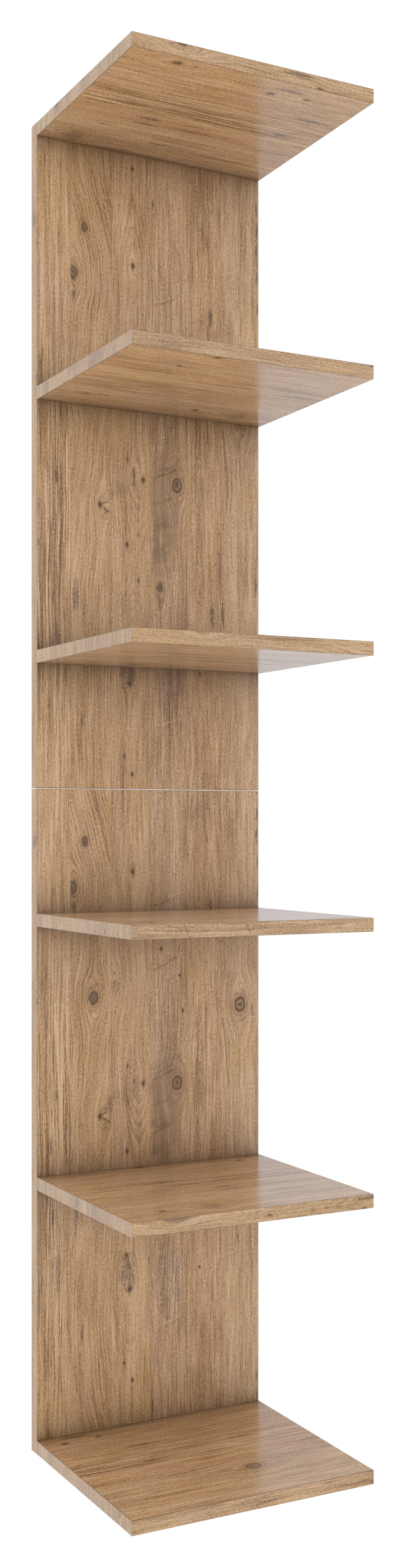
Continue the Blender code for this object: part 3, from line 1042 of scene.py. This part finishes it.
LEVEL_EDGE_U = 300.0
GLUE_LINE = (0.9, 0.2)
GLUE_LINE_SHARE = 0.55


def with_glue_lines(colour, z):
    """A shelf edging's colour with the thin dark glue lines at the board's two faces."""
    down = below_shelf_top(z)
    line = ramp_up(smaller(down, BOARD - down), *GLUE_LINE)
    return blend(line * GLUE_LINE_SHARE, colour, DARK_WOOD)


def front_edging_material(name, cut, top_z):
    """Edging on a shelf's front, grain along it."""
    material, shader = new_material(name)
    x, y, z = place_in_millimetres(material)
    v_left, u_top = cut
    colour, roughness, height = decor_at(material, top_z - z + u_top, v_left - (x + WIDTH / 2))
    colour = blend(FRONT_EDGE_SHARE, colour, FRONT_EDGE)
    lacquer(material, shader, with_glue_lines(colour, z), roughness + EDGE_ROUGHER, height)
    return material


def side_edging_material(name, cut, lined):
    """Edging at the board ends: the same decor, paler, grain upright. The paleness is partly a paler print
    and partly painted sheen.
    """
    material, shader = new_material(name)
    x, y, z = place_in_millimetres(material)
    u_wall, v_top = cut
    colour, roughness, height = decor_at(material, u_wall - y, TOP - z + v_top)
    # Paler print and painted sheen over the decor
    colour = blend(PALE_EDGE_AND_SHEEN_SHARE, colour, PALE_EDGE_AND_SHEEN)
    if lined:
        colour = with_glue_lines(colour, z)
    lacquer(material, shader, colour, roughness + EDGE_ROUGHER, height)
    return material


def level_edging_material(name):
    """Edging on the panels' tops and feet, grain along the width."""
    material, shader = new_material(name)
    x, y, z = place_in_millimetres(material)
    colour, roughness, height = decor_at(material, LEVEL_EDGE_U - y, x + z)
    lacquer(material, shader, colour, roughness + EDGE_ROUGHER, height)
    return material


# Zinc steel: spangle and fine brushing, waves per millimetre
ZINC_DULL = (0.56, 0.58, 0.60, 1.0)
ZINC_BRIGHT = (0.74, 0.75, 0.75, 1.0)
ZINC_ROUGHNESS = 0.36
SPANGLE_SCALE = 0.5
SPANGLE_DEPTH_SCALE = 0.3
SPANGLE_SEED = 91.0
SPANGLE_DETAIL = 3.0
SPANGLE_ROUGHER = 0.03
BRUSH_SCALE = 3.0
BRUSH_SEED = 92.0
BRUSH_ROUGHER = 0.025
ZINC_NOISE_ROUGHNESS = 0.6


def zinc_material():
    """Zinc-plated steel of screws and keyhole plates."""
    material, shader = new_material("zinc")
    x, y, z = place_in_millimetres(material)
    spangle = noise(
        x * SPANGLE_SCALE + y * SPANGLE_DEPTH_SCALE,
        z * SPANGLE_SCALE,
        SPANGLE_SEED,
        SPANGLE_DETAIL,
        ZINC_NOISE_ROUGHNESS,
    )
    brushed = noise(x * BRUSH_SCALE, z * BRUSH_SCALE + y, BRUSH_SEED, roughness=ZINC_NOISE_ROUGHNESS)
    feed(shader.inputs["Base Color"], blend(ramp_up(spangle, *NOISE_RANGE), ZINC_DULL, ZINC_BRIGHT))
    feed(shader.inputs["Metallic"], 1.0)
    roughness = spangle * SPANGLE_ROUGHER + brushed * BRUSH_ROUGHER + ZINC_ROUGHNESS
    feed(shader.inputs["Roughness"], roughness)
    wear_relief(material, shader, brushed, ZINC_RELIEF)
    return material


def dress(node_name, material):
    """Puts a material on a CAD piece, in the object's own slot."""
    obj = bpy.data.objects[node_name]
    if not obj.material_slots:
        obj.data.materials.append(None)
    for slot in obj.material_slots:
        slot.link = "OBJECT"
        slot.material = material


panel_wood = panel_material()
zinc = zinc_material()
panel_side_wood = side_edging_material("panel_side_wood", PANEL_SIDE_CUT, lined=False)
shelf_side_wood = side_edging_material("shelf_side_wood", SHELF_SIDE_CUT, lined=True)
level_edge_wood = level_edging_material("level_edge_wood")

for half in ("upper", "lower"):
    panel = half + "_back_panel"
    dress(panel, panel_wood)
    for side in ("left", "right"):
        dress(f"{panel}_{side}_edging", panel_side_wood)
        dress(f"{half}_{side}_hanger", zinc)
        for end in ("upper", "lower"):
            dress(f"{half}_{side}_hanger_{end}_screw", zinc)
    for side in ("top", "bottom"):
        dress(f"{panel}_{side}_edging", level_edge_wood)

for index, label in enumerate(SHELVES):
    shelf = label + "_shelf"
    top_z = TOP - SHELF_PITCH * index
    dress(shelf, shelf_material(shelf + "_wood", SHELF_CUTS[label], top_z))
    dress(shelf + "_front_edging", front_edging_material(shelf + "_front_wood", FRONT_CUTS[label], top_z))
    for side in ("left", "right"):
        dress(f"{shelf}_{side}_edging", shelf_side_wood)
        dress(f"{shelf}_{side}_screw", zinc)

# Camera: place in metres, level, turned to the right
CAMERA_PLACE = (-1.0424, -2.1502, -0.8687)
CAMERA_TURN = -27.801
SENSOR = 36.0
LENS = 38.92
SHIFT_UP = 0.0257

scene = bpy.context.scene
camera = bpy.data.objects.new("camera", bpy.data.cameras.new("camera"))
scene.collection.objects.link(camera)
camera.location = CAMERA_PLACE
camera.rotation_euler = (math.radians(90), 0.0, math.radians(CAMERA_TURN))
camera.data.sensor_width = SENSOR
camera.data.lens = LENS
camera.data.shift_y = SHIFT_UP
scene.camera = camera
scene.view_settings.view_transform = "Standard"

# Surroundings: white to the eye, a little cooler in gloss
WHITE = (1.0, 1.0, 1.0, 1.0)
ROOM_IN_GLOSS = (0.78, 0.84, 0.91, 1.0)

# Floor, in metres
FLOOR_Z = -2.12
FLOOR_HALF = 12.0
FLOOR_COLOUR = (0.9, 0.9, 0.9, 1.0)
FLOOR_GLOW = 0.25

# Light: a white room, and a wide soft lamp in front
ROOM_LIGHT = 1.15
FRONT_LIGHT = 0.65
FRONT_SPREAD = 60.0
FRONT_TURN = -12.0


def as_seen(tree):
    """Share of the surroundings' own look, 1 for rays from the eye, gloss and glass, and that look."""
    path = tree.nodes.new("ShaderNodeLightPath")
    glossy = Field(path.outputs["Is Glossy Ray"])
    seen = larger(Field(path.outputs["Is Camera Ray"]), glossy)
    seen = larger(seen, Field(path.outputs["Is Transmission Ray"]))
    return seen, blend(glossy, WHITE, ROOM_IN_GLOSS)


def floor_material():
    """Matt white that looks plain white to the eye and takes the shadow otherwise."""
    material, matt = new_material("floor_white")
    tree = material.node_tree
    feed(matt.inputs["Base Color"], FLOOR_COLOUR)
    feed(matt.inputs["Roughness"], 1.0)
    feed(matt.inputs["Emission Color"], WHITE)
    feed(matt.inputs["Emission Strength"], FLOOR_GLOW)
    seen, look = as_seen(tree)
    glow = tree.nodes.new("ShaderNodeEmission")
    feed(glow.inputs["Color"], look)
    mix = tree.nodes.new("ShaderNodeMixShader")
    feed(mix.inputs["Fac"], seen)
    tree.links.new(matt.outputs["BSDF"], mix.inputs[1])
    tree.links.new(glow.outputs["Emission"], mix.inputs[2])
    output = tree.nodes["Material Output"]
    tree.links.new(mix.outputs["Shader"], output.inputs["Surface"])
    return material


def make_floor():
    """A wide square floor under the part."""
    corners = [(-1, -1), (1, -1), (1, 1), (-1, 1)]
    mesh = bpy.data.meshes.new("floor")
    mesh.from_pydata([(x * FLOOR_HALF, y * FLOOR_HALF, FLOOR_Z) for x, y in corners], [], [(0, 1, 2, 3)])
    floor = bpy.data.objects.new("floor", mesh)
    scene.collection.objects.link(floor)
    mesh.materials.append(floor_material())


def make_world():
    """The room's light from all sides."""
    world = bpy.data.worlds.new("room")
    world.use_nodes = True
    background = world.node_tree.nodes["Background"]
    seen, look = as_seen(world.node_tree)
    feed(background.inputs["Color"], look)
    feed(background.inputs["Strength"], choose(seen, ROOM_LIGHT, 1.0))
    scene.world = world


def make_front_light():
    """A wide soft lamp in front, without a highlight of its own."""
    sun = bpy.data.lights.new("front_light", "SUN")
    sun.energy = FRONT_LIGHT
    sun.angle = math.radians(FRONT_SPREAD)
    sun.specular_factor = 0.0
    front = bpy.data.objects.new("front_light", sun)
    front.rotation_euler = (math.radians(90), 0.0, math.radians(FRONT_TURN))
    scene.collection.objects.link(front)


make_floor()
make_world()
make_front_light()
